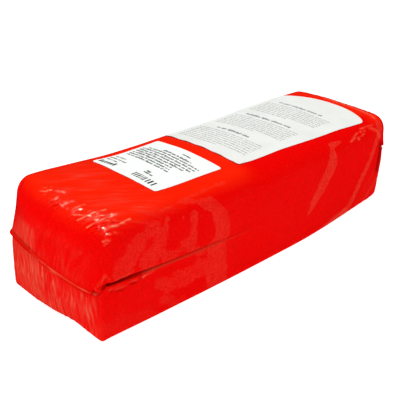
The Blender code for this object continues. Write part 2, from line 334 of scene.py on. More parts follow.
def pointNormals(points, quads):
    a, b, c, d = (points[quads[:, n]] for n in range(4))
    faceNormals = np.cross(c - a, d - b)
    normals = np.zeros_like(points)
    for n in range(4):
        np.add.at(normals, quads[:, n], faceNormals)
    return normals / np.linalg.norm(normals, axis=1, keepdims=True)


# ---- wrinkles of the film ----
def windNoise(seed):
    # smooth two-way noise from -1 to 1, one swing for each unit of u and v
    size = 64
    angles = np.random.default_rng(seed).uniform(0, 2 * math.pi, (size, size))

    def noise(u, v):
        column, row = np.floor(u).astype(int), np.floor(v).astype(int)
        du, dv = u - column, v - row
        blendU, blendV = du**3 * (du * (6 * du - 15) + 10), dv**3 * (dv * (6 * dv - 15) + 10)

        def corner(stepU, stepV):
            angle = angles[(column + stepU) % size, (row + stepV) % size]
            return np.cos(angle) * (du - stepU) + np.sin(angle) * (dv - stepV)

        near = corner(0, 0) * (1 - blendU) + corner(1, 0) * blendU
        far = corner(0, 1) * (1 - blendU) + corner(1, 1) * blendU
        return 1.5 * (near * (1 - blendV) + far * blendV)

    return noise


# unrolled lengths run from an end's top edge: positive back over the top, negative down the end face;
# where a field ends across or along them, its last value is how softly
pleatFields = {
    "nearEdgeGathers": {"end": -1, "seed": 3, "spacingMm": 4, "runMm": 17, "heightMm": 0.95, "sharp": 1.5,
        "lean": 0.45, "warpMm": 2, "unrolledMm": (5, 27, 6), "acrossMm": (-50, 16, 7), "milk": 0.03},
    "nearEdgeFine": {"end": -1, "seed": 5, "spacingMm": 2.6, "runMm": 13, "heightMm": 0.5, "sharp": 1.5,
        "lean": 0.55, "warpMm": 1.5, "unrolledMm": (2, 30, 6), "acrossMm": (-52, 26, 8), "milk": 0.06},
    "nearTopPleats": {"end": -1, "seed": 8, "spacingMm": 6, "runMm": 38, "heightMm": 0.42, "sharp": 1.6,
        "lean": 0, "warpMm": 3.5, "fanFromMm": 18, "fan": 0.62, "unrolledMm": (26, 74, 9),
        "acrossMm": (-50, 42, 8), "milk": 0.28},
    "nearFaceLow": {"end": -1, "seed": 14, "spacingMm": 4.6, "runMm": 24, "heightMm": 0.5, "sharp": 1.6,
        "lean": 0.1, "warpMm": 5, "unrolledMm": (-86, -52, 5), "acrossMm": (-47, 54, 5), "milk": 0.8,
        "belowSeal": True},
    "nearFaceLowFine": {"end": -1, "seed": 15, "spacingMm": 2.7, "runMm": 16, "heightMm": 0.12,
        "lean": -0.15, "warpMm": 6, "unrolledMm": (-88, -50, 5), "acrossMm": (-50, 54, 5), "milk": 0.3,
        "belowSeal": True},
    "nearFaceHigh": {"end": -1, "seed": 19, "spacingMm": 5.2, "runMm": 26, "heightMm": 0.22, "lean": 0.22,
        "warpMm": 5, "unrolledMm": (-46, -14, 8), "acrossMm": (-40, 54, 7), "milk": 0.14},
    "farEdgeGathers": {"end": 1, "seed": 23, "spacingMm": 4.6, "runMm": 14, "heightMm": 0.6, "lean": -0.1,
        "warpMm": 3, "unrolledMm": (2, 20, 6), "acrossMm": (-54, 48, 6), "milk": 0.1},
    "farFacePleats": {"end": 1, "seed": 27, "spacingMm": 4.2, "runMm": 24, "heightMm": 0.45, "lean": 0,
        "warpMm": 6, "unrolledMm": (-86, -10, 5), "acrossMm": (-50, 50, 5), "milk": 0.4},
}
pleatHabits = {
    "warpMm": (30, 26),        # how slowly the pleats wander, across and along
    "patchMm": (13, 17),       # the size of the places where they fade
    "tight": (0.94, 1.03),     # shares of the half width where it is drawn tight round the long sides
    "start": (20.3, 20.7),     # places in the noise
    "end": -95,                # none below the foot
}


def unrolledMm(points, end):
    x, y, z = points.T / mm
    return halfLength / mm - end * x - (block["height"] / mm - z)


def pleatCrests(points, field):
    # 0 to 1, highest along the crests of pleats that run with the unrolled film
    across, unrolled = points[:, 1] / mm, unrolledMm(points, field["end"])
    warpAcross, warpAlong = pleatHabits["warpMm"]
    patchAcross, patchAlong = pleatHabits["patchMm"]
    warp = field["warpMm"] * windNoise(field["seed"] + 100)(across / warpAcross, unrolled / warpAlong)
    fan = field.get("fan", 0.0) * np.maximum(unrolled - field.get("fanFromMm", 0), 0)
    shifted = (across + warp + fan + field["lean"] * unrolled) / field["spacingMm"]
    startAcross, startAlong = pleatHabits["start"]
    swing = windNoise(field["seed"])(shifted + startAcross, unrolled / field["runMm"] + startAlong)
    crest = (1 - np.minimum(np.abs(swing) * field.get("sharp", 1.5), 1)) ** 2
    patches = windNoise(field["seed"] + 50)(across / patchAcross, unrolled / patchAlong)
    reach = within(unrolled, *field["unrolledMm"]) * within(across, *field["acrossMm"])
    if field.get("belowSeal"):
        reach = reach * (1 - ease(-0.004, -0.001, points[:, 2] - sealHeight(points[:, 0], points[:, 1])))
    tight = 1 - ease(*pleatHabits["tight"], np.abs(points[:, 1]) / halfWidth)
    crest = crest * (0.35 + 0.65 * ease(-0.35, 0.45, patches))
    return crest * reach * tight * (unrolled > pleatHabits["end"])


# short hard creases among the gathers of the near top edge, with painted highlight and rubbed whitening along
# their tops
edgeCreases = {
    "seed": 71, "count": 46, "acrossMm": (-48.5, 24), "unrolledMm": (7, 23), "halfLengthMm": (2, 6.5),
    "lean": (-0.5, -0.15), "bend": (-0.03, 0.01), "halfMm": (0.4, 0.7), "heightMm": (0.25, 0.55),
    # rim: how much painted highlight and rubbed whitening a crease's top gets
    "rim": (0.02, 0.56), "linesHalfMm": 0.5, "linesHeightMm": 0.5,
    "lines": (  # the longest ones, as places across and along the film
        ((22.9, 14.5), (17.7, 16.6), (16.3, 21.5)),
        ((5.4, 13.5), (5.1, 16.8)),
        ((-0.5, 12.3), (-5.5, 10.6)),
        ((-13.1, 13.1), (-15.1, 23.7)),
        ((-15.8, 8.2), (-29.8, 15.3)),
        ((-23.6, 5.8), (-27.5, 13.4), (-30.2, 29.4)),
        ((-33.8, 4.0), (-38.5, 15.2), (-39.7, 25.7)),
        ((-44.7, 10.8), (-46.8, 20.3), (-46.5, 33.4)),
        ((-47.1, 0.0), (-48.8, 4.1)),
    ),
}


def edgeCreaseMarks(points):
    draw = random.Random(edgeCreases["seed"])
    relief, rim = np.zeros(len(points)), np.zeros(len(points))
    across, unrolled = points[:, 1] / mm, unrolledMm(points, -1)
    low, high = edgeCreases["acrossMm"]
    drawnInTurn = ("unrolledMm", "halfLengthMm", "lean", "bend", "halfMm", "heightMm")
    for _ in range(edgeCreases["count"]):
        place = high - (high - low) * math.sqrt(draw.random())  # closer together towards the front
        middle, half, lean, bend, wide, height = (draw.uniform(*edgeCreases[key]) for key in drawnInTurn)
        along = unrolled - middle
        away = across - place - lean * along - bend * along * along
        mark = bell(away, wide) * arch(along / half)
        # painted highlight and rubbed whitening along the crease's top
        glintAndRubShare = mix(*edgeCreases["rim"], draw.random() ** 2)
        relief += height * mm * mark
        rim = np.maximum(rim, glintAndRubShare * mark * (0.5 + 0.5 * np.sin(along * 1.3 + place)))
    places = np.column_stack((across, unrolled))
    for line in edgeCreases["lines"]:
        mark = bell(strokeDistance(places, np.array(line)), edgeCreases["linesHalfMm"])
        relief += edgeCreases["linesHeightMm"] * mm * mark
        # the longest ones carry the strongest painted highlight
        rim = np.maximum(rim, mark * (0.62 + 0.38 * np.sin(0.9 * unrolled + across)))
    return relief, rim


def gatherPlaces(points):
    # places across and along the drawn film of the nearer end, for the finest ripples, in metres
    end = np.where(points[:, 0] < 0, -1, 1)
    across, unrolled = points[:, 1] / mm, unrolledMm(points, end)
    warp = 2.5 * windNoise(61)(across / 24, unrolled / 22) + 0.8 * windNoise(62)(across / 7, unrolled / 9)
    onEdge = np.where(end < 0, 0.48, -0.1) * np.clip(unrolled, -8, 30)
    onTop = np.where(end < 0, 0.60, 0.0) * np.maximum(unrolled - 20, 0)
    return (across + warp + onEdge + onTop) * mm, unrolled * mm


undulation = {"seed": 21, "count": 14, "wavelengthMm": (26, 70), "phase": 2 * math.pi, "heightMm": 0.06}
cornerCrumple = {
    "seed": 31, "count": 8, "wavelengthMm": (4, 9), "phase": 6, "heightMm": 0.12, "placeMm": (-170, -51, 42),
    "reachMm": 12,
}


def wavesRelief(points, waves):
    # waves that cross each other in all directions, everywhere or round one place
    draw = random.Random(waves["seed"])
    relief = np.zeros(len(points))
    for _ in range(waves["count"]):
        direction = Vector([draw.gauss(0, 1) for _ in range(3)]).normalized()
        frequency = 2 * math.pi / (draw.uniform(*waves["wavelengthMm"]) * mm)
        relief += np.sin(points @ np.array(direction) * frequency + draw.uniform(0, waves["phase"]))
    relief *= waves["heightMm"] * mm
    if "placeMm" in waves:
        fromPlace = np.linalg.norm(points - np.array(waves["placeMm"]) * mm, axis=1)
        relief *= bell(fromPlace, waves["reachMm"] * mm)
    return relief


# single creases, ribs and rubbed marks, in mm: half width, height (below nothing for a crease), how much
# painted shade lies inside it, how much painted highlight and rubbed whitening its top has, and then the
# places of a path that is laid on the film
creaseStrokes = {
    "foldMouth": (0.8, -0.9, 0.9, 0, (-170, -51.8, 42.3), (-167.5, -52.3, 43.4), (-163, -52.6, 44.1),
        (-151.5, -53.5, 42.7), (-141, -54.3, 42.2)),
    "mouthLip": (0.9, 0.4, 0, 0.06, (-171, -50.6, 40.4), (-165, -52.8, 41.8), (-156, -53.6, 41)),
    "lowerFold": (0.7, -0.5, 0.6, 0, (-165, -52.5, 38.6), (-161.5, -53.5, 37.6), (-156.4, -53.8, 37),
        (-150.5, -54.1, 37.6), (-143, -54.6, 38.4), (-137, -54.8, 39.4)),
    "lowerFoldRib": (0.7, 0.4, 0, 0.12, (-167, -52.9, 40.9), (-161.5, -53.5, 39.2), (-156.4, -53.8, 38.7),
        (-150.5, -54.1, 39.2), (-143, -54.6, 39.9)),
    "cornerRib": (0.7, 0.5, 0, 0.14, (-174.4, -48.9, 43), (-171.8, -50.7, 46.9), (-169.9, -51.5, 50.1),
        (-167.1, -52.6, 52.3)),
    "cornerRibCrease": (0.7, -0.4, 0.25, 0, (-173, -50.2, 43.4), (-170.2, -51.5, 47), (-168, -52.2, 49.8)),
    "cornerRibLow": (0.7, 0.35, 0, 0.12, (-171.3, -51.4, 44.3), (-168.4, -52.5, 47.6),
        (-166.2, -53.2, 49.2)),
    "foldRib": (0.8, 0.3, 0, 0.08, (-165.5, -54.2, 46.6), (-158.7, -55.3, 47.6), (-153.2, -55.6, 47.2),
        (-146, -55.7, 48.6)),
    "pinchMarkA": (0.6, 0.2, 0, 1, (-176.6, -47.2, 37), (-175.5, -48.8, 37.5)),
    "pinchMarkB": (0.6, 0.2, 0, 1, (-174.8, -49.4, 38), (-174.2, -49.8, 38.8)),
    "pinchCrease": (0.7, -0.3, 0.22, 0, (-174.3, -48.6, 35.5), (-173.8, -50.3, 30.3),
        (-173.9, -49.9, 21.2)),
    "foldMark": (0.7, 0.5, 0, 1, (-137.2, -54.8, 40), (-136.4, -54.8, 40.4)),
    "foldMarkTail": (0.5, 0.3, 0, 0.3, (-136, -54.8, 40.5), (-128, -55, 41.5)),
    "cornerGlint": (0.6, 0.6, 0, 0.25, (-166, -48.7, 73), (-161.5, -50, 76.2)),
    "footEdgeLine": (0.6, 0.3, 0, 0.2, (-176, -40.2, 32.6), (-175.6, -39.8, 17.2), (-174.9, -41.3, 6.3)),
    "veilBar": (0.5, 0.3, 0, 0.7, (-180.1, 4.2, 41), (-180.1, 4.8, 36.5), (-179.9, 6.1, 31)),
    "veilBarCrease": (1.7, -0.2, 0.13, 0, (-180.2, 1.6, 41.5), (-180, 2.4, 32), (-179.3, 3.7, 22.6)),
    "lowBar": (0.8, 0.5, 0, 0.12, (-178, 8.6, 36), (-177, 8.4, 22), (-176, 9, 8)),
    "farMarkA": (0.8, 0.4, 0, 0.4, (112.2, -54, 76.1), (120.1, -52.8, 77.9)),
    "farMarkB": (0.7, 0.4, 0, 0.35, (122.6, -53.9, 75.7), (125, -53.2, 76.8)),
    "farMarkC": (0.7, 0.5, 0, 0.35, (129.2, -51.5, 79.3), (134.2, -48.9, 82.1)),
    "farMarkD": (0.7, 0.4, 0, 0.35, (136, -49.2, 81.7), (138.5, -50.2, 80.2), (136.5, -51.3, 79.2)),
    "farMarkE": (0.6, 0.3, 0, 0.4, (133.7, -55.2, 62.6), (134.7, -55.1, 65.3)),
    "farMarkF": (1.6, 0.4, 0, 0.18, (146, -51.6, 80), (154, -52.6, 75.5), (160, -53.4, 68)),
    "farTopEdgeLine": (1.8, 0.3, 0, 0.4, (163, 14, 88), (164, -8, 87), (163, -22, 87), (161, -34, 86),
        (160, -45, 84)),
    "farCornerCrease": (3.6, -0.8, 0.85, 0, (163.5, -52.6, 60), (164.2, -52.1, 54), (164, -52.2, 48),
        (164, -52, 42), (165, -51, 33)),
    "farMarkH": (0.5, 0.4, 0, 0.5, (118.5, -52.5, 78.4), (125.1, -51, 80.1)),
    "farMarkI": (0.5, 0.4, 0, 0.5, (130.5, -53.2, 76.5), (134.5, -52.4, 78)),
    "farMarkJ": (0.5, 0.4, 0, 0.5, (122.6, -54.5, 74.1), (124.4, -54.2, 75)),
    "farMarkG": (1.1, 0.5, 0, 0.14, (140, -49.5, 82), (151, -49.5, 80.5)),
}


def strokeDistance(points, path, halves=None):
    # how far each point is from a path of straight runs, or outside one that has half widths
    halves = np.zeros(len(path)) if halves is None else halves
    nearest = np.full(len(points), np.inf)
    for start, end, half, nextHalf in zip(path[:-1], path[1:], halves[:-1], halves[1:]):
        run = end - start
        share = np.clip((points - start) @ run / (run @ run), 0, 1)
        away = np.linalg.norm(points - start - share[:, None] * run, axis=1)
        nearest = np.minimum(nearest, away - mix(half, nextHalf, share))
    return nearest


def strokeMarks(points, quads):
    relief, shade, rim = np.zeros(len(points)), np.zeros(len(points)), np.zeros(len(points))
    tree = BVHTree.FromPolygons([Vector(point) for point in points], quads.tolist())
    for half, height, dark, glintAndRub, *placesMm in creaseStrokes.values():
        path = np.array([tree.find_nearest(Vector(place) * mm)[0] for place in placesMm])
        away = strokeDistance(points, path)
        relief += height * mm * bell(away, half * mm)
        # painted shade inside creases, painted highlight and rubbed whitening along ribs and marks
        shade = np.maximum(shade, dark * bell(away, 0.75 * half * mm))
        rim = np.maximum(rim, glintAndRub * bell(away, 0.8 * half * mm))
    return relief, shade, rim


# ---- pockets where the film stands off the block and looks milky ----
# each on the front (-1) or the back (1), with its strength, its edge's wobble and softness, and then its
# stroke's places along and up and its half width there, in mm
airPockets = {
    "frontArch": (-1, 0.17, 0.7, 0.7, (-92, 82, 0.8), (-84, 81, 1.6), (-77, 78, 3.4), (-66, 71.5, 6),
        (-57.5, 58, 8), (-59, 44, 7.5), (-64, 34, 11.5), (-63.5, 20, 11.5), (-60, 4, 10)),
    "frontEdgeLine": (-1, 0.16, 0.2, 0.7, (-118, 82, 0.5), (-84, 83.5, 0.7), (-46, 84, 0.5)),
    "frontBlob": (-1, 0.15, 0.6, 1.2, (-89, 72, 3.2), (-88, 62, 4), (-90, 51, 5), (-94, 47, 4)),
    "frontSlantNear": (-1, 0.13, 0.8, 2, (-158, 52, 7), (-149, 59, 7.5), (-139, 67, 6), (-129, 73, 4),
        (-118, 77, 1.5)),
    "frontSlantFar": (-1, 0.14, 0.8, 1.5, (-132, 50, 9), (-124, 58, 8), (-119, 67, 6.5), (-114, 74, 3)),
    "frontLevel": (-1, 0.12, 0.8, 2, (-118, 49, 4), (-103, 48.5, 2.5), (-93, 50, 3.5)),
    "frontLow": (-1, 0.12, 1, 2.5, (-121, 29, 4.5), (-111, 23, 6.5), (-94, 24, 8), (-80, 26, 9)),
    "frontLowest": (-1, 0.1, 0.8, 2.5, (-118, 12, 4), (-108, 6, 3), (-98, 4, 2.5)),
    "frontFoot": (-1, 0.06, 1, 5, (-168, 8, 8), (-150, 8, 7), (-132, 5, 5)),
    "frontStreak": (-1, 0.28, 0.35, 0.4, (84, 79, 2.6), (82.5, 75, 3.5), (83.5, 66, 6.9), (76, 56, 7),
        (67, 45, 6.4), (57.5, 34, 4.2), (50, 24, 0.9)),
    "frontStreakTop": (-1, 0.28, 0.2, 0.4, (80.8, 80.6, 1), (88, 79.4, 2.2), (98, 79.4, 0.7)),
    "farStreak": (-1, 0.28, 0.2, 0.4, (161, 79, 4.6), (156.5, 70, 3.6), (149, 55, 3.3), (139.5, 37, 3.6),
        (130, 20, 3.8), (122, 9, 4.2)),
    "footStrip": (-1, 0.42, 0.2, 0.4, (76, 2, 0.8), (96, 4.5, 2.2), (118, 7, 3)),
    "speckA": (-1, 0.25, 0.2, 0.6, (20, 77.6, 0.7), (23.5, 80, 0.9)),
    "speckC": (-1, 0.26, 0.2, 0.7, (-115, 75, 1.1), (-113, 76, 1.2)),
    "speckD": (-1, 0.26, 0.2, 0.7, (-98.5, 74, 0.9), (-97, 75, 1)),
    "speckE": (-1, 0.18, 0.2, 0.7, (-34, 77, 0.9), (-32, 75, 1)),
    "speckB": (-1, 0.9, 0.1, 0.5, (73.6, 26.8, 0.5), (76.2, 28.2, 0.6)),
    "backSheet": (1, 0.16, 1.2, 2.5, (-130, 66, 7), (-104, 58, 10), (-80, 40, 12), (-62, 20, 10)),
    "backStreak": (1, 0.34, 0.4, 0.5, (30, 78, 3), (38, 60, 7), (52, 42, 5), (60, 28, 1.5)),
    "backFar": (1, 0.18, 1, 2, (120, 72, 3), (132, 54, 6), (128, 30, 9), (140, 12, 6)),
}


def pocketValues(points):
    # how far outside the nearest pocket's edge, in edge widths, below nothing inside it; and its strength
    x, y, z = points.T / mm
    wobble = np.sin(x * 0.31 + z * 0.17) + 0.7 * np.sin(z * 0.37 - x * 0.11)
    wobble += 0.2 * np.sin(x * 0.83 + z * 0.61)
    places = np.column_stack((x, z))
    edge, strength = np.full(len(points), 9.0), np.zeros(len(points))
    for side, milk, wobbleMm, softMm, *stroke in airPockets.values():
        stroke = np.array(stroke)
        outside = strokeDistance(places, stroke[:, :2], stroke[:, 2])
        outside += wobble * wobbleMm + 9 * (1 - ease(0.70, 0.80, side * y * mm / halfWidth))
        outside = np.clip(outside / softMm, -3, 3)
        stronger = (1 - outside) * milk > (1 - edge) * strength
        nearer = np.where(strength > 0, stronger | (outside < edge), outside < edge)
        strength = np.where(nearer, milk, strength)
        edge = np.where(nearer, outside, edge)
    return edge, strength


# faint veils over whole parts of the end faces: the end, across and up in mm, edge softness, strength
endVeils = {
    "nearLow": (-1, (-60, 60), (0, 60), 3, 0.08),
    "nearLowBack": (-1, (9, 26), (3, 60), 0.8, 0.5),
    "nearLowFarBack": (-1, (24, 60), (0, 60), 3, 0.36),
    "nearHighBack": (-1, (13, 60), (40, 67), 4, 0.4),
    "nearHighMiddle": (-1, (-22, 12), (38, 51), 4, 0.13),
    "farLow": (1, (-60, 60), (0, 90), 4, 0.12),
    "farHighFront": (1, (-60, -34), (60, 90), 6, 0.3),
}
sealedVeilMm = 65  # a veil that stops lower than this stops at the seal


def endVeil(points):
    x, y, z = points.T / mm
    belowSeal = 1 - ease(-0.6, 0.2, z - sealHeight(*points[:, :2].T) / mm)
    gap = np.zeros(len(points))
    for end, acrossMm, heightMm, softMm, strength in endVeils.values():
        share = within(y, *acrossMm, softMm) * within(z, *heightMm, softMm)
        if heightMm[1] < sealedVeilMm:
            share = share * belowSeal
        gap = np.maximum(gap, strength * share * ease(-9, -3, end * x - halfLength / mm))
    return gap


# ---- materials ----
def hexColor(text, alpha=1.0):
    channels = [int(text[n:n + 2], 16) / 255 for n in (1, 3, 5)]
    linear = [c / 12.92 if c <= 0.04045 else ((c + 0.055) / 1.055) ** 2.4 for c in channels]
    return (*linear, alpha)


def addNode(tree, kind, settings=None, links=None):
    # a new node, or one that is there already; settings are attributes by name and sockets by number or
    # name, and links are socket: node or socket: (node, output)
    node = tree.nodes.new("ShaderNode" + kind) if isinstance(kind, str) else kind
    for key, value in (settings or {}).items():
        if isinstance(key, str) and hasattr(node, key):
            setattr(node, key, value)
        else:
            node.inputs[key].default_value = value
    for key, source in (links or {}).items():
        source, output = source if isinstance(source, tuple) else (source, 0)
        tree.links.new(source.outputs[output], node.inputs[key])
    return node


def newMaterial(name, settings):
    # the material, its shader with the settings, and addNode for its own nodes
    material = bpy.data.materials.new(name)
    material.use_nodes = True
    add = partial(addNode, material.node_tree)
    return material, add(material.node_tree.nodes["Principled BSDF"], settings), add


filmFinish = {
    "red": "#f60402",         # drawn tight against the block
    "darkRed": "#e50301",
    "paintedTopLightRed": "#fb1f03",     # painted light: lighter, warmer red where the film faces up
    "deepRed": "#d60000",     # two layers welded together
    "milkyRed": "#ea523e",    # standing off the block
    "glintAndRubRed": "#ff8a64",   # painted highlight on seal edges, ribs and crease tops, and rubbed whitening
    # painted shade in folds, creases and along the seals
    "creaseShadeRed": "#7a0000",
    "patchMm": 30,            # slow change of shade over the film
    "mottleMm": 1.4,          # the block's own grain seen through the tight film
    "breakUpMm": 6,           # the ragged edges and the uneven milkiness of the air pockets
    "rippleMm": 1.9,          # draw lines left by the shrinking
    "rippleRunMm": 15,
    "rippleHeightMm": 0.12,
    "grainHeightMm": 0.2,
    "gloss": (0.08, 0.12),    # least and most roughness
}


def shrinkFilm(keptNames):
    # opaque red polyamide-polyethylene film, cast and heat-shrunk: smooth gloss that its ripples break up
    material, shader, add = newMaterial(
        "shrunkRedFilm", {"Roughness": 0.16, "IOR": 1.5, "Specular IOR Level": 0.12})
    place = (add("TexCoord"), "Object")
    kept = {name: (add("Attribute", {"attribute_name": name}), "Fac") for name in keptNames}
    cloud, mottle, breakUp = (
        add("TexNoise", {"Scale": 1 / (filmFinish[size] * mm), "Detail": detail, "Roughness": rough},
            {"Vector": place})
        for size, detail, rough in (("patchMm", 2.0, 0.5), ("mottleMm", 2.0, 0.6), ("breakUpMm", 3.0, 0.65))
    )
    slowAlong = add("Math", {"operation": "MULTIPLY", 1: filmFinish["rippleMm"] / filmFinish["rippleRunMm"]},
                    {0: kept["gatherAlong"]})
    pull = add("CombineXYZ", {}, {"X": kept["gatherAcross"], "Y": slowAlong})
    ripple = add("TexNoise", {"Scale": 1 / (filmFinish["rippleMm"] * mm), "Detail": 2.0, "Roughness": 0.55},
                 {"Vector": pull})

    # where the film stands off the block: streaks over the ends, and pockets with ragged edges
    streakShare = add("MapRange", {1: 0.35, 2: 0.68, 3: 0.25, 4: 1.9}, {0: ripple})
    pushedOut = add("MapRange", {1: 0.25, 2: 0.75, 3: -1.3, 4: 1.3}, {0: breakUp})
    raggedEdge = add("Math", {"operation": "ADD"}, {0: kept["pocketEdge"], 1: pushedOut})
    inside = add("MapRange", {1: 0.5, 2: -0.5, 3: 0.0, 4: 1.0}, {0: raggedEdge})
    mottleShare = add("MapRange", {1: 0.35, 2: 0.65, 3: 0.45, 4: 1.45}, {0: mottle})
    cloudShare = add("MapRange", {1: 0.32, 2: 0.65, 3: 1.2, 4: 0.65}, {0: breakUp})
    grainedInside = add("Math", {"operation": "MULTIPLY"}, {0: inside, 1: mottleShare})
    mottledInside = add("Math", {"operation": "MULTIPLY"}, {0: grainedInside, 1: cloudShare})

    # each colour is laid over what is below it, as far as a value kept on the film's points says
    grainShare = add("MapRange", {1: 0.35, 2: 0.65}, {0: mottle})
    darkRed, red = hexColor(filmFinish["darkRed"]), hexColor(filmFinish["red"])
    ground = add("Mix", {"data_type": "RGBA", 6: darkRed, 7: red}, {0: grainShare})
    for name, color, share in (
        # painted light: lighter, warmer red where the film faces up
        ("thinFilm", "paintedTopLightRed", None),
        ("airGap", "milkyRed", streakShare),
        ("pocketStrength", "milkyRed", mottledInside),
        ("weldBand", "deepRed", None),
        # painted shade in folds, creases and along the seals
        ("crease", "creaseShadeRed", None),
        # painted highlight and rubbed whitening
        ("rubbedRim", "glintAndRubRed", None),
    ):
        amount = kept[name]
        if share:
            amount = add("Math", {"operation": "MULTIPLY", "use_clamp": True}, {0: amount, 1: share})
        ground = add("Mix", {"data_type": "RGBA", 7: hexColor(filmFinish[color])},
                     {0: amount, 6: (ground, 2)})

    # the finest ripples run with the pull of the film, as its gathers do
    fromRidge = add("Math", {"operation": "SUBTRACT", 1: 0.5}, {0: ripple})
    awayFromRidge = add("Math", {"operation": "ABSOLUTE"}, {0: fromRidge})
    ridge = add("MapRange", {"interpolation_type": "SMOOTHSTEP", 1: 0.14, 2: 0.0}, {0: awayFromRidge})
    rippleHeight = add("Math", {"operation": "MULTIPLY"}, {0: ridge, 1: kept["gathered"]})
    rippleBump = add("Bump", {"Strength": 0.5, "Distance": filmFinish["rippleHeightMm"] * mm},
                     {"Height": rippleHeight})
    grainBump = add("Bump", {"Strength": 0.08, "Distance": filmFinish["grainHeightMm"] * mm},
                    {"Height": mottle, "Normal": rippleBump})
    smoothest, roughest = filmFinish["gloss"]
    gloss = add("MapRange", {1: 0.3, 2: 0.7, 3: smoothest, 4: roughest}, {0: cloud})
    add(shader, {}, {"Base Color": (ground, 2), "Roughness": gloss, "Normal": grainBump})
    return material


paperFinish = {"fibreMm": 0.6, "fibreHeightMm": 0.1, "patchMm": 22}


def labelPaper(name, white, shade):
    # coated label paper, calendered and printed: matt with a faint satin sheen, hardly any texture
    material, shader, add = newMaterial(name, {"Roughness": 0.55, "IOR": 1.48, "Specular IOR Level": 0.06})
    place = (add("TexCoord"), "Object")
    patch = add("TexNoise", {"Scale": 1 / (paperFinish["patchMm"] * mm), "Detail": 2.0}, {"Vector": place})
    fibre = add("TexNoise", {"Scale": 1 / (paperFinish["fibreMm"] * mm), "Detail": 4.0, "Roughness": 0.7},
                {"Vector": place})
    shadeShare = add("Math", {"operation": "MULTIPLY_ADD", 1: 0.35}, {0: fibre, 2: patch})
    shadeRange = add("MapRange", {1: 0.45, 2: 0.95}, {0: shadeShare})
    tone = add("Mix", {"data_type": "RGBA", 6: hexColor(white), 7: hexColor(shade)}, {0: shadeRange})
    bump = add("Bump", {"Strength": 0.15, "Distance": paperFinish["fibreHeightMm"] * mm}, {"Height": fibre})
    add(shader, {}, {"Base Color": (tone, 2), "Normal": bump})
    return material


inkFinish = {"grainMm": 0.5}


def printInk(name, dark, worn):
    # offset ink on coated paper: flat and matt, a little starved in places
    material, shader, add = newMaterial(name, {"Roughness": 0.6, "IOR": 1.5, "Specular IOR Level": 0.06})
    place = (add("TexCoord"), "Object")
    grain = add("TexNoise", {"Scale": 1 / (inkFinish["grainMm"] * mm), "Detail": 3.0}, {"Vector": place})
    share = add("MapRange", {1: 0.4, 2: 0.7}, {0: grain})
    tone = add("Mix", {"data_type": "RGBA", 6: hexColor(dark), 7: hexColor(worn)}, {0: share})
    add(shader, {}, {"Base Color": (tone, 2)})
    return material


# ---- objects ----
def addObject(name, data):
    piece = bpy.data.objects.new(name, data)
    bpy.context.scene.collection.objects.link(piece)
    return piece


def addMesh(name, points, faces, material, smooth=True):
    mesh = bpy.data.meshes.new(name)
    mesh.from_pydata([tuple(point) for point in points], [], [tuple(face) for face in faces])
    mesh.materials.append(material)
    mesh.polygons.foreach_set("use_smooth", [smooth] * len(mesh.polygons))
    mesh.update()
    return addObject(name, mesh)


def addPointValues(piece, name, values):
    attribute = piece.data.attributes.new(name, "FLOAT", "POINT")
    attribute.data.foreach_set("value", values.astype(np.float32))


def joinFlatBase(piece):
    # the flat middle of the base becomes one face
    form = bmesh.new()
    form.from_mesh(piece.data)
    flat = [face for face in form.faces if max(vert.co.z for vert in face.verts) < 1e-6]
    bmesh.ops.dissolve_faces(form, faces=flat, use_verts=True)
    form.to_mesh(piece.data)
    form.free()


# the film round the block
pulled = {
    "topEdgeMm": (18, 38),         # middle and width of the gathers, as unrolled lengths
    "lowEndMm": (-66, 20),
    "lowEndShare": 0.6,
    "leastShare": 0.15,
    "tight": (0.93, 1.03),
    "topLightGapAlongMm": (-20, 155, 12),  # the painted top light is left off a strip along the top's front edge
    "topLightGapAcrossMm": (-42, -28),
    "flatBase": 0.004,             # the wrinkles fade over this height, so that the base stays flat
}
filmPoints, filmQuads = filmSurface()
filmPoints[:, 1] += block["backward"]
# the strokes and edge creases also give painted shade and painted highlight with rubbed whitening
strokeRelief, strokeShade, strokeGlintAndRub = strokeMarks(filmPoints, filmQuads)
creaseRelief, creaseGlintAndRub = edgeCreaseMarks(filmPoints)
wrinkles = creaseRelief + strokeRelief + wavesRelief(filmPoints, cornerCrumple)
wrinkles += wavesRelief(filmPoints, undulation)
pleatMilk = np.zeros(len(filmPoints))
for pleatField in pleatFields.values():
    crests = pleatCrests(filmPoints, pleatField)
    wrinkles += crests * pleatField["heightMm"] * mm
    pleatMilk = np.maximum(pleatMilk, crests * pleatField["milk"])
wrinkles *= ease(0.0, pulled["flatBase"], filmPoints[:, 2])
filmPoints += pointNormals(filmPoints, filmQuads) * wrinkles[:, None]
filmPoints[:, 2] = np.where(filmPoints[:, 2] < 1e-5, 0.0, filmPoints[:, 2])

_, weldBand, sealGlint, crease = sealParts(*filmPoints.T)
lengthMm, widthMm = filmPoints[:, 0] / mm, filmPoints[:, 1] / mm
fromEdge = unrolledMm(filmPoints, np.sign(lengthMm))
(topMiddle, topWidth), (lowMiddle, lowWidth) = pulled["topEdgeMm"], pulled["lowEndMm"]
pull = bell(fromEdge - topMiddle, topWidth) + pulled["lowEndShare"] * bell(fromEdge - lowMiddle, lowWidth)
pull = (pull + pulled["leastShare"]) * (1 - ease(*pulled["tight"], np.abs(widthMm) * mm / halfWidth))
pocketEdge, pocketStrength = pocketValues(filmPoints)
gatherAcross, gatherAlong = gatherPlaces(filmPoints)
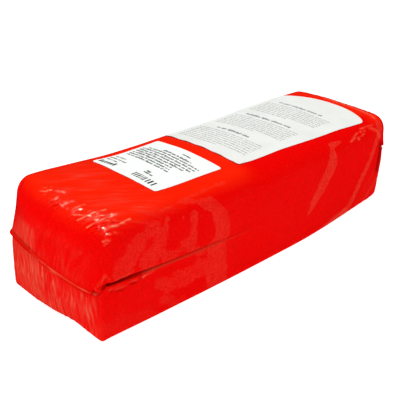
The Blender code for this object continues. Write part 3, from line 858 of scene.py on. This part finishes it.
# painted light: the film's colour is lighter and warmer where it faces up, except on a strip along the top's
# front edge
topLightGap = within(lengthMm, *pulled["topLightGapAlongMm"]) * (1 - ease(*pulled["topLightGapAcrossMm"], widthMm))
thinFilm = ease(0.5, 0.95, pointNormals(filmPoints, filmQuads)[:, 2]) * (1 - topLightGap)
keptOnFilm = {
    "airGap": np.maximum(endVeil(filmPoints), pleatMilk) * (1 - weldBand),
    "pocketEdge": pocketEdge,
    "pocketStrength": pocketStrength,
    "thinFilm": thinFilm,
    "weldBand": weldBand,
    # painted highlight and rubbed whitening together
    "rubbedRim": np.maximum(np.maximum(0.5 * sealGlint, strokeGlintAndRub), creaseGlintAndRub),
    # painted shade in folds, creases and along the seals
    "crease": np.maximum(crease, strokeShade),
    "gathered": pull,
    "gatherAcross": gatherAcross,
    "gatherAlong": gatherAlong,
}
film = addMesh("shrunkFilm", filmPoints, filmQuads.tolist(), shrinkFilm(keptOnFilm))
for valueName, values in keptOnFilm.items():
    addPointValues(film, valueName, values)
joinFlatBase(film)
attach(film, "root")
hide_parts("wrapped_loaf")
print("film:", len(filmPoints), "points")


# ---- the two labels ----
labelSheets = {  # corners: near front, near back, far front, far back
    "weightLabelPaper": {
        "node": "weight_label", "slot": "weight_label_paper", "white": "#f5faf7", "shade": "#edf2ee",
        "cornersMm": ((-104.2, -32.8), (-103.7, 40.8), (-37.5, -36.7), (-32.5, 41.5)),
        "archMm": 0.0, "liftMm": 0.15, "liftReachMm": 5, "waveMm": 0.05, "waveLengthMm": 21,
    },
    "contentsLabelPaper": {
        "node": "contents_label", "slot": "contents_label_paper", "white": "#eceeea", "shade": "#e2e4e0",
        "cornersMm": ((-21.8, -39.7), (-18.0, 49.0), (141.8, -45.5), (138.5, 49.0)),
        "archMm": 15.5, "liftMm": 0.45, "liftReachMm": 7, "waveMm": 0.22, "waveLengthMm": 19,
    },
}
labelStock = {"thicknessMm": 0.14, "gapMm": 0.26, "cornerMm": 2.6, "stepMm": 1.5}


def labelPlaces(label):
    # rows of places seen from above, from the near edge to the far one, inside rounded corners
    nearFront, nearBack, farFront, farBack = np.array(label["cornersMm"])
    width = (np.linalg.norm(nearBack - nearFront) + np.linalg.norm(farBack - farFront)) / 2
    length = (np.linalg.norm(farFront - nearFront) + np.linalg.norm(farBack - nearBack)) / 2
    corner = labelStock["cornerMm"]
    inner = width / 2 - corner
    straight = np.linspace(-inner, inner, round(2 * inner / labelStock["stepMm"]) + 1)
    bend = inner + corner * np.sin(np.radians((25, 45, 62, 76, 90)))
    acrosses = np.concatenate([-bend[::-1], straight, bend])
    columns = round(length / labelStock["stepMm"])
    rows = []
    for across in acrosses:
        share = across / width + 0.5
        near, far = mix(nearFront, nearBack, share), mix(farFront, farBack, share)
        heading = (far - near) / np.linalg.norm(far - near)
        pastCorner = max(abs(across) - inner, 0.0)
        cornerCut = corner - math.sqrt(max(corner**2 - pastCorner**2, 0.0))
        start = near + heading * cornerCut
        stop = far + heading * (label["archMm"] * float(arch(2 * share - 1)) - cornerCut)
        rows.append(mix(start, stop, np.linspace(0, 1, columns + 1)[:, None]))
    return np.array(rows) * mm


def dropOnto(tree, x, y):
    hit, normal, _, _ = tree.ray_cast(Vector((x, y, 2 * block["height"])), Vector((0, 0, -1)))
    return hit, normal


def labelSheet(label, tree):
    # a closed sheet laid on the film: its lower side, its upper side and the rim between them
    rows = labelPlaces(label)
    lower, upper = [], []
    for row in rows:
        for x, y in row:
            hit, normal = dropOnto(tree, x, y)
            fromNear = math.hypot(x - row[0][0], y - row[0][1]) / mm
            wave = label["waveMm"] * math.sin(2 * math.pi * y / mm / label["waveLengthMm"] + 1.2)
            lift = (label["liftMm"] + wave) * math.exp(-((fromNear / label["liftReachMm"]) ** 2))
            gap = (labelStock["gapMm"] + lift) * mm
            lower.append(hit + normal * gap)
            upper.append(hit + normal * (gap + labelStock["thicknessMm"] * mm))
    total = len(lower)
    grid = np.arange(total).reshape(rows.shape[:2])
    quads = np.stack([grid[:-1, :-1], grid[:-1, 1:], grid[1:, 1:], grid[1:, :-1]], axis=-1).reshape(-1, 4)
    faces = [face for quad in quads for face in (quad + total, quad[::-1])]
    rim = [*grid[0, :-1], *grid[:-1, -1], *grid[-1, :0:-1], *grid[:0:-1, 0]]
    faces += [(corner, after, after + total, corner + total) for corner, after in zip(rim, rim[1:] + rim[:1])]
    return lower + upper, [[int(corner) for corner in face] for face in faces]


filmTree = BVHTree.FromPolygons([Vector(point) for point in filmPoints], filmQuads.tolist())
paperTrees = {}
for labelName, label in labelSheets.items():
    sheetPoints, sheetFaces = labelSheet(label, filmTree)
    paper = labelPaper(labelName + "Stock", label["white"], label["shade"])
    sheet = addMesh(labelName, sheetPoints, sheetFaces, paper)
    sheet.data.set_sharp_from_angle(angle=math.radians(40))
    paperTrees[labelName] = BVHTree.FromPolygons(sheetPoints, sheetFaces)
    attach(sheet, "root")
    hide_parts(label["node"])
    print("label:", labelName)


# ---- print: small plain cells of ink in word-like runs, with no letters ----
# a line runs from its start to its end (x, y), with its top towards +X; then its height and the share of a
# cell's width that is inked
weightLinesMm = (
    ((-43.6, 1), (-44.8, -9), 1.5, 0.75),
    ((-47.9, 19), (-51.3, -17), 1.6, 0.8),
    ((-50.1, 34), (-56.2, -30), 1.6, 0.75),
    ((-53.3, 38), (-59.8, -30), 1.6, 0.75),
    ((-56.9, 38), (-63.1, -27), 1.6, 0.75),
    ((-60.5, 38), (-66.2, -22), 1.6, 0.75),
    ((-64.1, 38), (-69.0, -13), 1.6, 0.75),
    ((-67.7, 38), (-72.6, -14), 1.6, 0.75),
    ((-71.3, 37), (-76.4, -16), 1.6, 0.75),
    ((-81.4, 38.6), (-82.8, 24), 1.4, 0.75),
    ((-85.8, 40), (-87.9, 18), 1.4, 0.75),
    ((-90.3, 39), (-91.6, 25), 1.4, 0.75),
    ((-86.0, -3), (-86.5, -8.5), 1.4, 0.85),
    ((-88.6, -2.5), (-89.6, -13), 1.4, 0.85),
    ((-99.4, 38.5), (-98.2, 19.5), 3.6, 0.72),
)
paragraphs = {
    "placesMm": ((24.5, 28, -12), (70.5, 35, -19), (117.0, 34, -19)),  # heading's x, its start and end in y
    "headingHeightMm": 2.3,
    "headingInk": 0.9,
    "firstLineMm": 5.6,        # from the heading to the first line
    "lineStepMm": 3.75,
    "lineCount": 8,
    "lineHeightMm": 1.2,
    "lineInk": 0.55,
    "backMm": 43,
    "frontMm": -31,
    "lastFrontMm": -2,
    "slope": 0.012,
}
barMarks = {
    "seed": 47, "nearMm": -98.6, "farMm": -92.4, "backMm": 0.5, "frontMm": -25.0, "slope": 0.06,
    "barMm": (0.8, 2.0), "gapMm": (0.9, 2.3),
}
inkCells = {
    "widthMm": 1.25,           # in a line of the next height
    "lineMm": 1.5,
    "wordLength": (2, 9),
    "wordGap": 0.8,            # in cells
    "dropChance": 0.12,        # some reach below the line and some above it, as shares of its height
    "drop": 0.3,
    "riseChance": 0.25,
    "rise": 1.4,
    "sunkMm": 0.03,            # into the paper
    "proudMm": 0.025,
}


def wordCells(lines, seed):
    # rectangles for runs of words: each cell is one mark about as wide as a letter
    draw = random.Random(seed)
    rectangles = []
    for start, end, height, stroke in lines:
        start, run = np.array(start), np.subtract(end, start)
        length = np.linalg.norm(run)
        along = run / length
        up = np.array((-along[1], along[0]))
        cell = inkCells["widthMm"] * height / inkCells["lineMm"]
        place = 0.0
        while place + cell < length:
            for _ in range(draw.randint(*inkCells["wordLength"])):
                if place + cell > length:
                    break
                low = -inkCells["drop"] * height if draw.random() < inkCells["dropChance"] else 0.0
                high = inkCells["rise"] * height if draw.random() < inkCells["riseChance"] else height
                a = start + along * place
                b = start + along * (place + cell * stroke)
                rectangles.append([a + up * low, b + up * low, b + up * high, a + up * high])
                place += cell
            place += inkCells["wordGap"] * cell
    return rectangles


def inkOn(name, rectangles, tree, material):
    points, faces = [], []
    for rectangle in rectangles:
        base = len(points)
        drops = [dropOnto(tree, x * mm, y * mm) for x, y in rectangle]
        points += [hit - normal * inkCells["sunkMm"] * mm for hit, normal in drops]
        points += [hit + normal * inkCells["proudMm"] * mm for hit, normal in drops]
        faces.append([base + n for n in (4, 5, 6, 7)])
        faces.append([base + n for n in (3, 2, 1, 0)])
        faces += [[base + n, base + (n + 1) % 4, base + (n + 1) % 4 + 4, base + n + 4] for n in range(4)]
    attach(addMesh(name, points, faces, material, smooth=False), "root")
    print("print:", name, len(rectangles), "marks")


def paragraphLines():
    lines, slope, backMm = [], paragraphs["slope"], paragraphs["backMm"]
    for x, back, front in paragraphs["placesMm"]:
        headingEnd = (x - slope * (back - front), front)
        lines.append(((x, back), headingEnd, paragraphs["headingHeightMm"], paragraphs["headingInk"]))
        for n in range(paragraphs["lineCount"]):
            lineX = x - paragraphs["firstLineMm"] - n * paragraphs["lineStepMm"]
            last = n == paragraphs["lineCount"] - 1
            end = paragraphs["lastFrontMm"] if last else paragraphs["frontMm"]
            lineEnd = (lineX - slope * (backMm - end), end)
            lines.append(((lineX, backMm), lineEnd, paragraphs["lineHeightMm"], paragraphs["lineInk"]))
    return lines


def barRectangles():
    draw = random.Random(barMarks["seed"])
    rectangles = []
    y = barMarks["backMm"]
    while y > barMarks["frontMm"]:
        width = draw.uniform(*barMarks["barMm"])
        shift = -barMarks["slope"] * (barMarks["backMm"] - y)
        near, far = barMarks["nearMm"] + shift, barMarks["farMm"] + shift
        rectangles.append([(near, y), (near, y - width), (far, y - width), (far, y)])
        y -= width + draw.uniform(*barMarks["gapMm"])
    return rectangles


blackInk = printInk("blackThermalInk", "#161817", "#3a3d3c")
greyInk = printInk("greyOffsetInk", "#858a87", "#a2a7a4")
weightPaper, contentsPaper = paperTrees["weightLabelPaper"], paperTrees["contentsLabelPaper"]
inkOn("weightLabelPrint", wordCells(weightLinesMm, seed=41), weightPaper, blackInk)
inkOn("weightLabelBars", barRectangles(), weightPaper, blackInk)
inkOn("contentsLabelPrint", wordCells(paragraphLines(), seed=43), contentsPaper, greyInk)


# ---- floor, light and camera ----
studio = {
    "floorSize": 40.0,
    "floorDrop": 0.0002,      # below the base, so that the two faces never meet
    "floorCloudiness": 3.0,   # swings in a metre
    "floorWhite": "#a8a8a8",
    "floorShade": "#a4a4a4",
    "floorGlow": 0.92,        # the sweep is lit from below, as on a light table
    "skyLight": 0.50,         # what matt surfaces receive from all round
    "skyGlow": 0.01,          # what gloss sees of it
    "keyStrength": 1.98,
    "keyDirection": (-0.20, 0.10, 0.97),
    "keyAngle": 60,
    "stripDirection": (-0.17, -0.02, 0.98),
    "stripDistance": 1.5,
    "stripLength": 0.85,      # along the block
    "stripWidth": 0.06,
    "stripPower": 200,
    "stripColor": "#ffdcc4",  # warm, like a tungsten tube
}


def studioFloor():
    # painted plaster sweep: matt, even, with a very faint cloudiness
    material, shader, add = newMaterial("paintedSweep", {
        "Roughness": 0.9, "Specular IOR Level": 0.0, "Emission Color": hexColor("#ffffff"),
        "Emission Strength": studio["floorGlow"],
    })
    place = (add("TexCoord"), "Object")
    cloud = add("TexNoise", {"Scale": studio["floorCloudiness"], "Detail": 2.0}, {"Vector": place})
    white, shade = hexColor(studio["floorWhite"]), hexColor(studio["floorShade"])
    tone = add("Mix", {"data_type": "RGBA", 6: white, 7: shade}, {0: cloud})
    add(shader, {}, {"Base Color": (tone, 2)})
    half = studio["floorSize"] / 2
    corners = [(x * half, y * half, -studio["floorDrop"]) for x, y in ((-1, -1), (1, -1), (1, 1), (-1, 1))]
    floor = addMesh("studioFloor", corners, [(0, 1, 2, 3)], material, smooth=False)
    floor.visible_glossy = False


def softKey():
    lamp = bpy.data.lights.new("softKey", "SUN")
    lamp.energy = studio["keyStrength"]
    lamp.angle = math.radians(studio["keyAngle"])
    key = addObject("softKey", lamp)
    key.rotation_euler = Vector(studio["keyDirection"]).to_track_quat("Z", "Y").to_euler()
    key.visible_glossy = False


def glintStrip():
    # a narrow strip overhead, along the block, which only the gloss of the film picks up
    lamp = bpy.data.lights.new("glintStrip", "AREA")
    lamp.shape = "RECTANGLE"
    lamp.size = studio["stripLength"]
    lamp.size_y = studio["stripWidth"]
    lamp.energy = studio["stripPower"]
    lamp.color = hexColor(studio["stripColor"])[:3]
    strip = addObject("glintStrip", lamp)
    direction = Vector(studio["stripDirection"]).normalized()
    across = direction.cross(Vector((1, 0, 0))).normalized()
    turn = Matrix((across.cross(direction), across, direction)).transposed()
    strip.matrix_world = Matrix.Translation(direction * studio["stripDistance"]) @ turn.to_4x4()
    strip.visible_diffuse = False


def studioSky():
    world = bpy.data.worlds.new("softStudio")
    world.use_nodes = True
    world.cycles.sampling_method = "NONE"  # so that the two strengths below stay apart
    bpy.context.scene.world = world
    add = partial(addNode, world.node_tree)
    rays = add("LightPath")
    strength = add("MapRange", {"To Min": studio["skyLight"], "To Max": studio["skyGlow"]},
                   {"Value": (rays, "Is Glossy Ray")})
    add(world.node_tree.nodes["Background"], {"Color": hexColor("#ffffff")}, {"Strength": strength})


studioFloor()
studioSky()
softKey()
glintStrip()
bpy.context.scene.view_settings.view_transform = "Standard"

viewpoint = {
    "place": (-0.47272, -0.43373, 0.33701),
    "lens": 74.11,
    "down": 25.114,           # degrees below level
    "round": 46.017,          # degrees from +Y towards +X
    "roll": 1.0795,
}


def addCamera():
    lens = bpy.data.cameras.new("viewCamera")
    lens.lens = viewpoint["lens"]
    lens.sensor_width = 36
    camera = addObject("viewCamera", lens)
    down, turn, roll = (math.radians(viewpoint[key]) for key in ("down", "round", "roll"))
    aim = Euler((math.pi / 2 - down, 0, -turn)).to_matrix().to_4x4() @ Matrix.Rotation(roll, 4, "Z")
    camera.matrix_world = Matrix.Translation(viewpoint["place"]) @ aim
    bpy.context.scene.camera = camera


addCamera()
print("studio: floor, light and camera")
